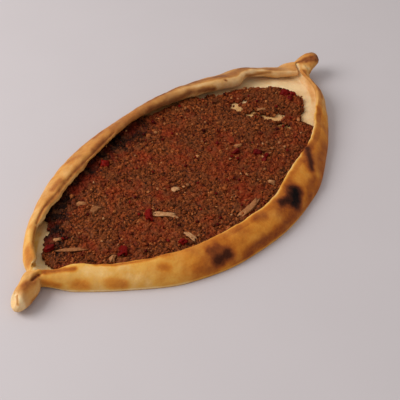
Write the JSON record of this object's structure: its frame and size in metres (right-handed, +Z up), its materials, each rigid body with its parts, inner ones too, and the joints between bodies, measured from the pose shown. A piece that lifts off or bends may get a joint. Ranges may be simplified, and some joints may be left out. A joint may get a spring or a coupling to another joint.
{
  "type": "sfiha",
  "caption": "Long boat-shaped sfiha of thin baked dough, its rim folded up and in over a layer of spiced minced meat, both ends pinched and twisted into knobs.",
  "frame": {"origin": "on the underside, below the middle of the bounding box", "axes": "+X along the boat from knob to knob, +Y across it towards the far rim, +Z up from the face it rests on"},
  "size_m": [0.2932, 0.1472, 0.0182],
  "materials": {
    "dough_crust": "baked dough, matte",
    "mince_filling": "cooked mince, slightly oily"
  },
  "bodies": {
    "root": {"dough_crust": "dough_crust", "mince_filling": "mince_filling"}
  },
  "joints": []
}
